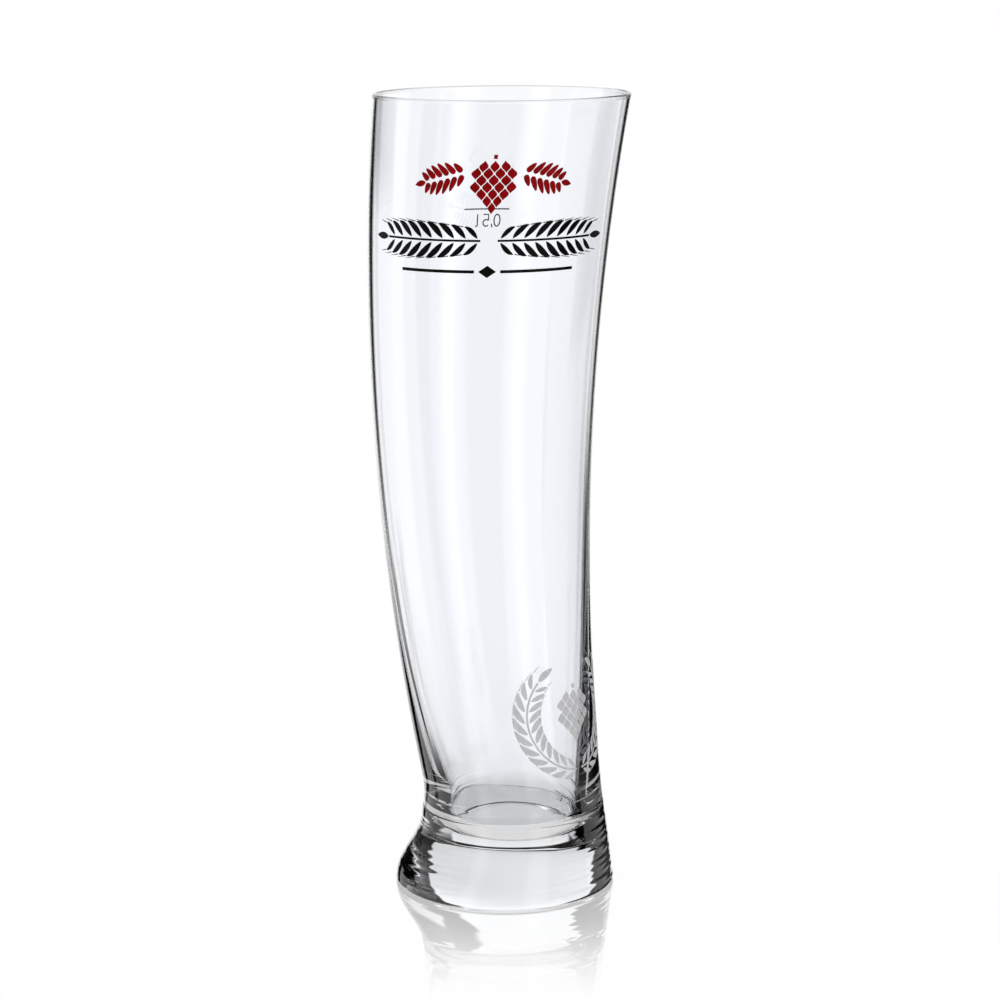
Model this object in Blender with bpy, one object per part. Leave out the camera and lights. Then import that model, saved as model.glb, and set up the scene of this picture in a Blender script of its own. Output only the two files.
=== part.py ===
"""A bent wheat-beer glass: a blown bowl that leans out and comes back, fused into a thick pressed foot,
with fired prints on the wall.

Metres, +Z up. The origin is the centre of the flat underside. The front print faces -Y, and the bowl
leans in the XZ plane, so every level section of the glass is a circle whose centre moves along X.
"""

import math

import bmesh
import bpy
from mathutils import Vector
from mathutils.geometry import delaunay_2d_cdt

# Bowl, on its outside
HEIGHT = 0.245
RIM_RADIUS = 0.0388
WAIST_RADIUS = 0.0274
SEAM_HEIGHT = 0.025
SEAM_GAP = 0.0003

# The arc that the centres of the bowl's level sections follow
BEND_RADIUS = 0.79
BEND_HEIGHT = 0.1462
BEND_OFFSET = -0.0058

# Heel, where the bowl swells towards -X to meet the foot
HEEL_SWELL = 0.0008
HEEL_HEIGHT = 0.009

# Wall and inner floor: the floor lies below the seam, in a bottom that sits in the foot's socket
RIM_WALL = 0.0014
HEEL_WALL = 0.009
WALL_POWER = 6.5
RIM_BEAD = 0.0003
FLOOR_DROP = 0.0083
FLOOR_ROUND = 0.01
FLOOR_REACH = 0.008
FLOOR_THICKNESS = 0.0031

# Foot: shares of its height are counted down from the seam
FOOT_RADIUS = 0.0343
FOOT_EDGE = 0.001
FOOT_TAPER = 0.6
FLARE_START = 0.25
FLARE_SPAN = 0.66

# Prints: how they lie on the wall
PRINT_GAP = 0.00008
PRINT_THICKNESS = 0.0001
PRINT_FACET = 0.0027

# Front print, from the rim down; azimuths are counted from -Y towards +X
EAR_SPACE = 0.0016
EAR_START = 0.0025
EAR_LENGTH = 0.038
EAR_BODY = 0.0022
EAR_GRAIN = 0.0042
EAR_GRAINS = 9
EAR_STALK = 0.0011
HOP_DROP = 0.0155
HOP_LENGTH = 0.0175
HOP_BODY = 0.0095
HOP_SCALE = 0.0024
HOP_SCALES = 5
HOP_STALK = 0.0014
HOP_LEAF_LENGTH = 0.0165
HOP_LEAF_BODY = 0.0055
HOP_LEAF_TOOTH = 0.0011
HOP_LEAF_TEETH = 7
HOP_LEAF_SPACE = 0.0006
HOP_LEAF_FALL = 0.0052
HOP_LEAF_TILT = math.radians(-14)
RULE_FALL = 0.0014
RULE_LENGTH = 0.0235
RULE_WIDTH = 0.0009
RULE_SPACE = 0.0012
LOZENGE_WIDTH = 0.0052
LOZENGE_HEIGHT = 0.0036

# Frosted wreath: its rise is measured up from the seam
WREATH_AZIMUTH = math.radians(50)
WREATH_RISE = 0.033
WREATH_RADIUS = 0.0175
WREATH_SWEEP = math.radians(150)
WREATH_BODY = 0.0015
WREATH_GRAIN = 0.0034
WREATH_GRAINS = 11
WREATH_STALK = 0.0009
WREATH_START = 0.0012
WREATH_HOP_SPACE = 0.0034
WREATH_HOP_BODY = 0.0105
WREATH_HOP_SCALE = 0.0024

# Fill mark on the back
FILL_AZIMUTH = math.radians(181.6)
FILL_DROP = 0.0383
FILL_LENGTH = 0.0145
FILL_STROKE = 0.0004
DIGIT_FALL = 0.0013
DIGIT_HEIGHT = 0.0037
DIGIT_WIDTH = 0.0019
DIGIT_SPACE = 0.0005
COMMA_HEIGHT = 0.0008

# Shape of a printed ear, cone or leaf: lengths in pitches of its lobes
LOBE_HALF_WIDTH = 0.44
LOBE_POINT = 0.8
FIRST_LOBE = 0.75
TIP_PITCHES = 1.6
TIP_START = 0.3
TAPER_BEFORE = 1.2
TAPER_AFTER = 0.4
TAPER_POWER = 0.6
BODY_CROWN = 0.8
BODY_ROUND = 0.8
EAR_SLANT = 1.1
HOP_SLANT = 0.5

# Shape of the figures, in shares of half their height or width
FIVE_BOWL = 0.56
FIVE_TOP = 0.7
FIVE_NECK = (0.85, 0.1)
FIVE_SWEEP = (130, -140)
LITRE_HOOK = (0.2, 0.7)
ZERO_PLACE = -1.25
COMMA_PLACE = -0.6

# Facets
SEGMENTS = 72
WALL_ROWS = 16
HEEL_ROWS = 4
INNER_ROWS = 16
ROUND_STEPS = 7
SOCKET_ROWS = 3
BEAD_STEPS = 9
FOOT_ROWS = 11
EDGE_STEPS = 4
LOBE_STEPS = 3
RING_STEPS = 20
MERGE_DISTANCE = 1e-6
SHARP_ANGLE = math.radians(40)

# Finishes: linear colour, roughness and transmission
GLASS = ("clear_glass", (0.96, 0.975, 1.0), 0.02, 1.0)
RED_ENAMEL = ("red_enamel", (0.38, 0.004, 0.006), 0.35, 0.0)
BLACK_ENAMEL = ("black_enamel", (0.006, 0.006, 0.007), 0.35, 0.0)
FROST = ("frosted_enamel", (0.66, 0.66, 0.68), 0.65, 0.0)


def clear_scene():
    for old in list(bpy.data.objects):
        bpy.data.objects.remove(old, do_unlink=True)


def material(name, finish):
    """A Principled material of its own for one piece."""
    label, colour, roughness, transmission = finish
    made = bpy.data.materials.new(f"{name}_{label}")
    made.use_nodes = True
    shader = made.node_tree.nodes["Principled BSDF"]
    shader.inputs["Base Color"].default_value = (*colour, 1.0)
    shader.inputs["Roughness"].default_value = roughness
    shader.inputs["Metallic"].default_value = 0.0
    shader.inputs["Transmission Weight"].default_value = transmission
    return made


def finish_piece(name, mesh, finish):
    """Turns the faces outwards and puts the mesh into the scene as a named object."""
    bmesh.ops.recalc_face_normals(mesh, faces=mesh.faces)
    if mesh.calc_volume(signed=True) < 0:
        bmesh.ops.reverse_faces(mesh, faces=mesh.faces)
    data = bpy.data.meshes.new(name)
    mesh.to_mesh(data)
    mesh.free()
    data.shade_smooth()
    data.set_sharp_from_angle(angle=SHARP_ANGLE)
    data.materials.append(material(name, finish))
    piece = bpy.data.objects.new(name, data)
    bpy.context.scene.collection.objects.link(piece)
    return piece


def spread(first, last, steps):
    """Evenly spaced values from first to last, both included."""
    return [first + (last - first) * step / steps for step in range(steps + 1)]


def smoothstep(share):
    share = min(max(share, 0.0), 1.0)
    return share * share * (3 - 2 * share)


def heel_swell(height):
    """Grows with the square of the depth below the heel's top edge."""
    depth = max(0.0, SEAM_HEIGHT + HEEL_HEIGHT - height) / HEEL_HEIGHT
    return HEEL_SWELL * depth**2


def wall_radius(height):
    """Outside of the bowl: a straight cone from waist to rim, swollen at the heel."""
    climb = (height - SEAM_HEIGHT) / (HEIGHT - SEAM_HEIGHT)
    return WAIST_RADIUS + (RIM_RADIUS - WAIST_RADIUS) * climb + heel_swell(height)


def bowl_lean(height):
    """X of a level section's centre: a circular arc, drawn towards -X at the heel."""
    rise = height - BEND_HEIGHT
    arc = BEND_RADIUS - math.sqrt(BEND_RADIUS**2 - rise**2)
    return BEND_OFFSET + arc - heel_swell(height)


def floor_height():
    return SEAM_HEIGHT - FLOOR_DROP


def inner_radius(height):
    """Inside of the wall, which thickens with a power of the depth below the rim."""
    depth = (HEIGHT - height) / (HEIGHT - floor_height())
    return wall_radius(height) - RIM_WALL - (HEEL_WALL - RIM_WALL) * depth**WALL_POWER


def foot_flare(height):
    """An S-curve from 0 near the seam to 1 near the underside."""
    depth = 1 - height / SEAM_HEIGHT
    return smoothstep((depth - FLARE_START) / FLARE_SPAN)


def foot_radius(height):
    top = wall_radius(SEAM_HEIGHT)
    depth = 1 - height / SEAM_HEIGHT
    share = FOOT_TAPER * depth + (1 - FOOT_TAPER) * foot_flare(height)
    return top + (FOOT_RADIUS - top) * share


def section_lean(height):
    """The bowl's lean down to the seam; below it, that of the seam dies out with the flare."""
    if height > SEAM_HEIGHT:
        return bowl_lean(height)
    return bowl_lean(SEAM_HEIGHT) * (1 - foot_flare(height))


def socket_radius():
    """Half-way through the wall at the seam, so that bowl and foot share its thickness."""
    return (wall_radius(SEAM_HEIGHT) + inner_radius(SEAM_HEIGHT)) / 2


def socket_height():
    return floor_height() - FLOOR_THICKNESS


def turned(name, profile, finish):
    """Spins a profile of (radius, height) points round Z and leans each level along X."""
    mesh = bmesh.new()
    points = [mesh.verts.new((radius, 0.0, height)) for radius, height in profile]
    edges = [mesh.edges.new(pair) for pair in zip(points, points[1:])]
    bmesh.ops.spin(
        mesh,
        geom=points + edges,
        axis=(0, 0, 1),
        cent=(0, 0, 0),
        angle=2 * math.pi,
        steps=SEGMENTS,
    )
    bmesh.ops.remove_doubles(mesh, verts=mesh.verts, dist=MERGE_DISTANCE)
    for vert in mesh.verts:
        vert.co.x += section_lean(vert.co.z)
    return finish_piece(name, mesh, finish)


def bead_profile():
    """The fire-polished rim: a round bead, a little thicker than the wall under it."""
    radius = RIM_WALL / 2 + RIM_BEAD
    middle = wall_radius(HEIGHT - radius) - RIM_WALL / 2
    start = -math.acos(RIM_WALL / 2 / radius)
    angles = spread(start, math.pi - start, BEAD_STEPS)
    return [(middle + radius * math.cos(a), HEIGHT - radius + radius * math.sin(a)) for a in angles]


def floor_profile():
    """A quarter ellipse from the wall down to the flat inner floor, and in to its middle."""
    turn_height = floor_height() + FLOOR_ROUND
    profile = []
    for angle in spread(0, math.pi / 2, ROUND_STEPS):
        radius = inner_radius(turn_height) - FLOOR_REACH * (1 - math.cos(angle))
        profile.append((radius, turn_height - FLOOR_ROUND * math.sin(angle)))
    return profile + [(0.0, floor_height())]


def make_bowl():
    """The wall, and under it a thick bottom that reaches down into the foot's socket."""
    bottom = SEAM_HEIGHT + SEAM_GAP / 2
    heel_top = SEAM_HEIGHT + HEEL_HEIGHT
    bead = bead_profile()
    plug = spread(socket_height(), bottom, SOCKET_ROWS)
    outside = spread(bottom, heel_top, HEEL_ROWS)[:-1] + spread(heel_top, bead[0][1], WALL_ROWS)[:-1]
    inside = spread(bead[-1][1], floor_height() + FLOOR_ROUND, INNER_ROWS)[1:-1]
    profile = [(0.0, socket_height())]
    profile += [(socket_radius(), height) for height in plug]
    profile += [(wall_radius(height), height) for height in outside]
    profile += bead
    profile += [(inner_radius(height), height) for height in inside]
    profile += floor_profile()
    return turned("bowl", profile, GLASS)


def make_foot():
    """A flared foot with a rounded lower edge and a socket for the bowl's bottom."""
    top = SEAM_HEIGHT - SEAM_GAP / 2
    bed = socket_height() - SEAM_GAP
    edge_radius = foot_radius(FOOT_EDGE)
    profile = [(0.0, 0.0)]
    for angle in spread(-math.pi / 2, 0, EDGE_STEPS)[:-1]:
        reach = edge_radius - FOOT_EDGE + FOOT_EDGE * math.cos(angle)
        profile.append((reach, FOOT_EDGE + FOOT_EDGE * math.sin(angle)))
    profile += [(foot_radius(height), height) for height in spread(FOOT_EDGE, top, FOOT_ROWS)]
    profile += [(socket_radius() + SEAM_GAP, height) for height in spread(top, bed, SOCKET_ROWS)]
    profile.append((0.0, bed))
    return turned("foot", profile, GLASS)


def leafy_outline(length, body, reach, lobes, stalk, slant):
    """A lobed shape along +u: a body that swells out of a stalk, with pointed lobes down both sides.

    The body's half width is half the stalk plus a rounded arch. Every lobe leans forward alike, and none
    is as wide along u as the pitch, so lobes don't meet. The last stretch runs to a point.
    """
    pitch = length / (lobes + TIP_PITCHES)
    lean = slant * pitch / reach
    climbs = [step / LOBE_STEPS for step in range(LOBE_STEPS)]
    half_widths = [LOBE_HALF_WIDTH * pitch * (1 - climb**2) ** LOBE_POINT for climb in climbs]

    def edge(u):
        arch = math.sin(math.pi * (u / length) ** BODY_CROWN)
        return stalk / 2 + body / 2 * arch**BODY_ROUND

    side = [(0.0, stalk / 2)]
    for lobe in range(lobes):
        middle = (lobe + FIRST_LOBE) * pitch
        taper = math.pi * (lobe + TAPER_BEFORE) / (lobes + TAPER_BEFORE + TAPER_AFTER)
        tip = reach * math.sin(taper) ** TAPER_POWER
        for climb, half in zip(climbs, half_widths):
            side.append((middle + lean * tip * climb - half, edge(middle - half) + tip * climb))
        side.append((middle + lean * tip, edge(middle) + tip))
        for climb, half in zip(reversed(climbs), reversed(half_widths)):
            side.append((middle + lean * tip * climb + half, edge(middle + half) + tip * climb))
    tip_start = (lobes + TIP_START) * pitch
    side += [(u, edge(u)) for u in spread(tip_start, length, LOBE_STEPS)[:-1]]
    return side + [(length, 0.0)] + [(u, -v) for u, v in reversed(side)]


def lozenge_outline(width, height):
    return [(-width / 2, 0.0), (0.0, -height / 2), (width / 2, 0.0), (0.0, height / 2)]


def bar_outline(start, end, width):
    return [(start, -width / 2), (end, -width / 2), (end, width / 2), (start, width / 2)]


def moved(points, across=0.0, up=0.0, turn=0.0, mirror=False):
    """Turns an outline about its origin, then shifts it, then mirrors it left to right."""
    sign = -1 if mirror else 1
    cosine = math.cos(turn)
    sine = math.sin(turn)
    return [(sign * (u * cosine - v * sine + across), u * sine + v * cosine + up) for u, v in points]


def curled(points, radius):
    """Bends an outline that runs along +u into an arc about the origin, starting under it."""
    bent = []
    for u, v in points:
        angle = u / radius
        bent.append(((radius - v) * math.sin(angle), -(radius - v) * math.cos(angle)))
    return bent


def divided(points):
    """A closed outline with points added along every side that is longer than a facet."""
    outline = []
    for (u, v), (next_u, next_v) in zip(points, points[1:] + points[:1]):
        parts = math.ceil(math.hypot(next_u - u, next_v - v) / PRINT_FACET)
        shares = [part / parts for part in range(parts)]
        outline += [Vector((u + (next_u - u) * share, v + (next_v - v) * share)) for share in shares]
    return outline


def inner_points(outline):
    """A grid of points across the outline's box, clear of the outline's own points."""
    low = [min(point[axis] for point in outline) for axis in (0, 1)]
    high = [max(point[axis] for point in outline) for axis in (0, 1)]
    steps = [math.ceil((high[axis] - low[axis]) / PRINT_FACET) for axis in (0, 1)]
    columns, rows = (spread(low[axis], high[axis], steps[axis]) for axis in (0, 1))
    grid = [Vector((u, v)) for u in columns for v in rows]
    return [spot for spot in grid if min((spot - point).length for point in outline) > PRINT_FACET / 2]


def outline_mesh(points):
    """Fills an outline with triangles small enough to follow the curved wall."""
    outline = divided(points)
    corners = list(range(len(outline)))
    spots, _, faces, *_ = delaunay_2d_cdt(outline + inner_points(outline), [], [corners], 1, MERGE_DISTANCE)
    mesh = bmesh.new()
    verts = [mesh.verts.new((*spot, 0.0)) for spot in spots]
    for face in faces:
        mesh.faces.new([verts[corner] for corner in face])
    loose = [vert for vert in mesh.verts if not vert.link_faces]
    bmesh.ops.delete(mesh, geom=loose, context="VERTS")
    return mesh


def stroke_mesh(points, width, closed=False):
    """A flat ribbon of even width along a path of points."""
    mesh = bmesh.new()
    count = len(points)
    rows = []
    for index, (u, v) in enumerate(points):
        before = points[(index - 1) % count if closed else max(index - 1, 0)]
        after = points[(index + 1) % count if closed else min(index + 1, count - 1)]
        along = math.hypot(after[0] - before[0], after[1] - before[1])
        across = (-(after[1] - before[1]) / along, (after[0] - before[0]) / along)
        rows.append([mesh.verts.new((u + side * across[0], v + side * across[1], 0.0))
                     for side in (-width / 2, width / 2)])
    following = rows[1:] + rows[:1] if closed else rows[1:]
    for (right, left), (next_right, next_left) in zip(rows, following):
        mesh.faces.new((right, next_right, next_left, left))
    return mesh


def printed(name, mesh, azimuth, height, finish):
    """Thickens a flat mesh and wraps it round the wall, its origin at the azimuth and height given."""
    raised = bmesh.ops.extrude_face_region(mesh, geom=mesh.faces[:], use_keep_orig=True)["geom"]
    for vert in raised:
        if isinstance(vert, bmesh.types.BMVert):
            vert.co.z = PRINT_THICKNESS
    arm = wall_radius(height)
    for vert in mesh.verts:
        across, up, out = vert.co
        level = height + up
        angle = azimuth + across / arm
        reach = wall_radius(level) + PRINT_GAP + out
        vert.co = (bowl_lean(level) + reach * math.sin(angle), -reach * math.cos(angle), level)
    return finish_piece(name, mesh, finish)


def make_front_print():
    """A red hop cone between two leaves, over a pair of black barley ears and a ruled lozenge."""
    sides = (("left", True), ("right", False))
    ear_half = (EAR_STALK + EAR_BODY) / 2 + EAR_GRAIN
    hop_height = HEIGHT - HOP_DROP
    ear_height = hop_height - HOP_LENGTH - EAR_SPACE - ear_half
    rule_height = ear_height - ear_half - RULE_FALL - LOZENGE_HEIGHT / 2
    hop = leafy_outline(HOP_LENGTH, HOP_BODY, HOP_SCALE, HOP_SCALES, HOP_STALK, HOP_SLANT)
    hop_place = moved(hop, turn=-math.pi / 2)
    printed("hop_cone", outline_mesh(hop_place), 0.0, hop_height, RED_ENAMEL)
    ear = leafy_outline(EAR_LENGTH, EAR_BODY, EAR_GRAIN, EAR_GRAINS, EAR_STALK, EAR_SLANT)
    leaf = leafy_outline(
        HOP_LEAF_LENGTH, HOP_LEAF_BODY, HOP_LEAF_TOOTH, HOP_LEAF_TEETH, HOP_STALK, HOP_SLANT
    )
    leaf_start = (HOP_BODY + HOP_STALK) / 2 + HOP_SCALE + HOP_LEAF_SPACE
    lozenge = outline_mesh(lozenge_outline(LOZENGE_WIDTH, LOZENGE_HEIGHT))
    printed("rule_lozenge", lozenge, 0.0, rule_height, BLACK_ENAMEL)
    rule_start = LOZENGE_WIDTH / 2 + RULE_SPACE
    rule = bar_outline(rule_start, rule_start + RULE_LENGTH, RULE_WIDTH)
    for side, mirror in sides:
        leaf_place = moved(leaf, leaf_start, -HOP_LEAF_FALL, HOP_LEAF_TILT, mirror)
        ear_place = moved(ear, across=EAR_START, mirror=mirror)
        rule_place = moved(rule, mirror=mirror)
        printed(f"hop_leaf_{side}", outline_mesh(leaf_place), 0.0, hop_height, RED_ENAMEL)
        printed(f"barley_ear_{side}", outline_mesh(ear_place), 0.0, ear_height, BLACK_ENAMEL)
        printed(f"rule_{side}", outline_mesh(rule_place), 0.0, rule_height, BLACK_ENAMEL)


def make_wreath():
    """Two frosted ears curled into an open ring round a hop cone."""
    height = SEAM_HEIGHT + WREATH_RISE
    length = WREATH_RADIUS * WREATH_SWEEP
    ear = leafy_outline(length, WREATH_BODY, WREATH_GRAIN, WREATH_GRAINS, WREATH_STALK, EAR_SLANT)
    ear = curled(moved(ear, across=WREATH_START), WREATH_RADIUS)
    for side, mirror in (("left", True), ("right", False)):
        place = moved(ear, mirror=mirror)
        printed(f"wreath_{side}", outline_mesh(place), WREATH_AZIMUTH, height, FROST)
    ear_half = (WREATH_STALK + WREATH_BODY) / 2 + WREATH_GRAIN
    hop_half = WREATH_RADIUS - ear_half - WREATH_HOP_SPACE
    hop = leafy_outline(
        2 * hop_half, WREATH_HOP_BODY, WREATH_HOP_SCALE, HOP_SCALES, WREATH_STALK, HOP_SLANT
    )
    hop = moved(hop, up=hop_half, turn=-math.pi / 2)
    printed("wreath_hop", outline_mesh(hop), WREATH_AZIMUTH, height, FROST)


def make_fill_mark():
    """A level line for half a litre, with its figures below it."""
    line = outline_mesh(bar_outline(-FILL_LENGTH / 2, FILL_LENGTH / 2, FILL_STROKE))
    printed("fill_line", line, FILL_AZIMUTH, HEIGHT - FILL_DROP, BLACK_ENAMEL)
    half_width = DIGIT_WIDTH / 2
    half_height = DIGIT_HEIGHT / 2
    turns = [2 * math.pi * step / RING_STEPS for step in range(RING_STEPS)]
    zero = [(half_width * math.cos(a), half_height * math.sin(a)) for a in turns]
    bowl_radius = FIVE_BOWL * half_height
    bowl_middle = bowl_radius - half_height
    bowl_start, bowl_end = (math.radians(angle) for angle in FIVE_SWEEP)
    neck_across, neck_up = FIVE_NECK
    five = [(half_width, half_height), (-FIVE_TOP * half_width, half_height)]
    five.append((-neck_across * half_width, neck_up * half_height))
    for angle in spread(bowl_start, bowl_end, RING_STEPS // 2):
        five.append((half_width * math.cos(angle), bowl_middle + bowl_radius * math.sin(angle)))
    hook_start, hook_end = (share * half_width for share in LITRE_HOOK)
    litre = [(0.0, half_height), (0.0, hook_start - half_height)]
    litre += [(hook_start, -half_height), (hook_end, -half_height)]
    comma = [(0.0, COMMA_HEIGHT - half_height), (-COMMA_HEIGHT / 2, -half_height - COMMA_HEIGHT / 2)]
    step = DIGIT_WIDTH + FILL_STROKE + DIGIT_SPACE
    figures = (
        ("fill_zero", zero, ZERO_PLACE * step, True),
        ("fill_comma", comma, COMMA_PLACE * step, False),
        ("fill_five", five, 0.0, False),
        ("fill_litre", litre, step, False),
    )
    arm = wall_radius(HEIGHT - FILL_DROP)
    height = HEIGHT - FILL_DROP - FILL_STROKE - DIGIT_FALL - half_height
    for name, path, across, closed in figures:
        mesh = stroke_mesh(path, FILL_STROKE, closed)
        printed(name, mesh, FILL_AZIMUTH + across / arm, height, BLACK_ENAMEL)


clear_scene()
make_foot()
make_bowl()
make_front_print()
make_wreath()
make_fill_mark()
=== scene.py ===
"""Looks of a bent wheat-beer glass, laid out as a Blender add-on and run as a script.

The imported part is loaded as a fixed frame. The glass and its prints are surfaces worked out with numpy, in
the frame's own metres: +Z up, the front print towards -Y, and the bowl leaning in the XZ plane, so that every
level section of the glass is a circle whose centre moves along X.
"""

import math
from functools import partial

import bpy
import numpy as np
from bpy.props import FloatProperty, FloatVectorProperty, PointerProperty
from mathutils import Matrix, Vector


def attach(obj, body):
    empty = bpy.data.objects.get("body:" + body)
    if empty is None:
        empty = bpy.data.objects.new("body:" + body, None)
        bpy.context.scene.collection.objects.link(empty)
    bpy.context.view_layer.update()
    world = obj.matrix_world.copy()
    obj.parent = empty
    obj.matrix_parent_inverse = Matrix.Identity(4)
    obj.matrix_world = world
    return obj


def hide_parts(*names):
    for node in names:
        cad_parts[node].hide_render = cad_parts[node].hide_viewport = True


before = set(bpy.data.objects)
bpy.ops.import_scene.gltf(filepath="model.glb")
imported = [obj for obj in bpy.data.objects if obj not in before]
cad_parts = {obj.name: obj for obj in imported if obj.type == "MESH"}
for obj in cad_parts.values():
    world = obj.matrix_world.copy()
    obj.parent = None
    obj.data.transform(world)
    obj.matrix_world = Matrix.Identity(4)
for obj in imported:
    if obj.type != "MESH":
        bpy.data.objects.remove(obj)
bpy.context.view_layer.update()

bl_info = {
    "name": "Bent beer glass",
    "version": (1, 0, 0),
    "blender": (4, 5, 0),
    "location": "View3D > Sidebar > Beer glass",
    "description": "Builds a bent wheat-beer glass with fired prints, on a white stage",
    "category": "Add Mesh",
}

BODY = "root"
TURN = 2 * math.pi

# White panels round the glass: azimuth of the one behind it from +Y towards +X, half widths at its waist and
# its top, elevations of waist and peak, soft edge, and what the half width gains for each degree below the
# waist and above it, there on that panel or on the others, and loses above the peak
PANEL_TURN = math.radians(-3)
PANEL_HALF_WIDTH = math.radians(15)
PANEL_TOP = math.radians(20)
PANEL_WAIST = math.radians(-5)
PANEL_PEAK = math.radians(20)
PANEL_EDGE = math.radians(1.5)
PANEL_FALL = 0.6
PANEL_CLIMB = 1.3
SIDE_CLIMB = 0.4
PANEL_CLOSE = 2.2

# White panels beside that one: azimuth and top elevation, in degrees
SIDE_PANELS = ((-90, 8), (135, -4))

# Low plain panels beside it: azimuth, half width, lower and upper elevation in degrees, and level
LOW_PANELS = ((-48, 9, -90, -17, 1.0), (-59, 25, -18, -4, 0.85), (56, 28, -12, -4, 0.85))

# Softboxes on both sides of the camera: name, azimuth from -Y towards +X in degrees, and width in metres
SOFTBOXES = (("left", -38, 0.3), ("right", 32, 0.45))
SOFTBOX_DISTANCE = 1.1
SOFTBOX_LENGTH = 1.5
SOFTBOX_HEIGHT = 0.45
SOFTBOX_AIM = (0.0, 0.0, 0.15)
SOFTBOX_EDGE = math.radians(6)

# Rows and columns of the surfaces
SEGMENTS = 224
UNDERSIDE_ROWS = 6
EDGE_ROWS = 10
FOOT_ROWS = 90
GROOVE_ROWS = 12
WALL_ROWS = 90
BEAD_ROWS = 26
INNER_ROWS = 80
ROUND_ROWS = 30
FLOOR_ROWS = 12
RIBBON_ROWS = 15
RIBBON_COLUMNS = 7
FLOOR_RINGS = 40
SHARP_ANGLE = math.radians(50)

# Sides of a pair of prints: name, and if it is the mirror image
SIDES = (("left", True), ("right", False))
FRONT = 0.0

# Inks: slot, factor on the colour where the ink is thin, and roughness where it covers
INKS = {
    "red": ("red_enamel", 1.5, 0.28),
    "black": ("black_enamel", 1.8, 0.25),
    "frost": ("frosted_enamel", 0.9, 0.55),
}
INK_IOR = 1.5
INK_SPECULAR = 0.06
THIN_ROUGHNESS = 0.12
COVER_RANGE = (0.3, 0.65)
CLOUD_SCALE = 420.0
WEAVE_SCALE = 5200.0
WEAVE_DEPTH = 0.00003
WEAVE_STRENGTH = 0.25

# Glass and its waves: cycles per metre across and up, and depth
GLASS_IOR = 1.52
WAVE_SCALE = (30.0, 30.0, 9.0)
WAVE_DEPTH = 0.00005
WAVE_STRENGTH = 0.1

# Ripples of the foot: wave length in metres, turns round the foot, and start in radians
RIPPLES = ((0.0031, 3, 0.4), (0.0019, -4, 2.1), (0.0047, 2, 4.0))

# Barley ear: lengths and half widths in pitches of its grains, and reach as a share of its width
EAR_GRAINS = 9
WREATH_GRAINS = 11
EAR_ARCH = (2.2, 3.4, 1.0, 0.45)
EAR_SPARE = 1.9
EAR_STEM = 0.09
EAR_TIP = 1.75
EAR_TIP_GAP = 0.12
EAR_TIP_HALF_WIDTH = 0.3
FIRST_GRAIN = 0.25
GRAIN_LENGTH = 1.55
GRAIN_HALF_WIDTH = 0.27
GRAIN_REACH = 0.39
GRAIN_TURN = 0.92
GRAIN_CLEAR = 2.1
AWN_GAP = 0.1
AWN_LENGTH = 0.95
AWN_HALF_WIDTH = 0.045
AWN_TAPER = 0.7

# Hop cone: shares of its length and of half its width
CONE_ROWS = 7
CONE_COLUMNS = 2
CONE_START = 0.08
CONE_SHOULDER = 0.9
CONE_POINT = 0.3
CONE_TAPER = 0.25
CONE_LEAST = 0.58
CONE_BULGE = 0.34
CONE_SKEW = 0.85
SCALE_CUT = 0.09
SCALE_PITCH = 0.5
SCALE_HALF_WIDTH = 0.41
STALK_LENGTH = 0.07
STALK_HALF_WIDTH = 0.035

# Hop leaf: lengths and half widths in pitches of its lobes, and reach as a share of its width
LEAF_TEETH = 6
LEAF_ARCH = (1.2, 1.9, 0.8, 0.7)
LEAF_TIP = 1.7
LEAF_TIP_HALF_WIDTH = 0.42
FIRST_LOBE = 0.45
LOBE_LENGTH = 1.3
LOBE_START = 0.05
LOBE_REACH = 0.45
LOBE_HALF_WIDTH = 0.4
LOBE_ALMOND = (0.6, 0.5)

# Lozenge: least half height, as a share of its greatest
LOZENGE_POINT = 0.03

# Figures: shares of half their width or height, sweep in degrees, comma in metres, places in pitches
ZERO_STEPS = 36
FIVE_STEPS = 24
FIVE_BOWL = 0.56
FIVE_SWEEP = (130, -140)
FIVE_TOP = 0.7
FIVE_NECK = (0.85, 0.1)
LITRE_HOOK = (0.2, 0.7)
COMMA_TOP = 0.0008
COMMA_LENGTH = 0.0012
COMMA_LEAN = 0.0004
ZERO_PLACE = -1.25
COMMA_PLACE = -0.6
FIVE_PLACE = 0.0
LITRE_PLACE = 1.0

# Floor: its gap under the foot, and where its shadow and mirror image start to fade and its shadow is gone
FLOOR_GAP = 0.0002
FLOOR_NEAR = 0.03
FLOOR_FAR = 0.16
FLOOR_COLOUR = (0.97, 0.97, 0.97, 1.0)
MIRROR_ROUGHNESS = 0.012
WHITE = (1.0, 1.0, 1.0, 1.0)

# What shows under the glass: a glowing patch of painted light, a ring of painted shade round its back, drawn
# towards +X, and painted shade beside it on each side, which draws apart towards the back. The patch's soft
# edge is in its radii, the others are in widths of that one, and the side shade starts to fade at a share of
# its reach
PATCH_COLOUR = (1.0, 0.99, 0.97, 1.0)
PATCH_RADIUS = 0.0335
SHADE_RADIUS = 0.0375
SHADE_SHIFT = 0.0012
SIDE_SHADE_START = 0.03
SIDE_SHADE_SLOPE = 0.55
SIDE_SHADE_REACH = 0.1
PATCH_EDGE = 1 / 40
SIDE_SHADE_EDGES = 4
BACK_EDGES = 8
SIDE_SHADE_FADE = 0.5

# Elevations between which the white panels and the dark gaps turn into the table and into the roof
TABLE_IN_WHITE = np.radians((-48, -14))
TABLE_IN_DARK = np.radians((-42, -32))
ROOF_IN_WHITE = np.radians((5, 34))
ROOF_IN_DARK = np.radians((42, 54))

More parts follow.
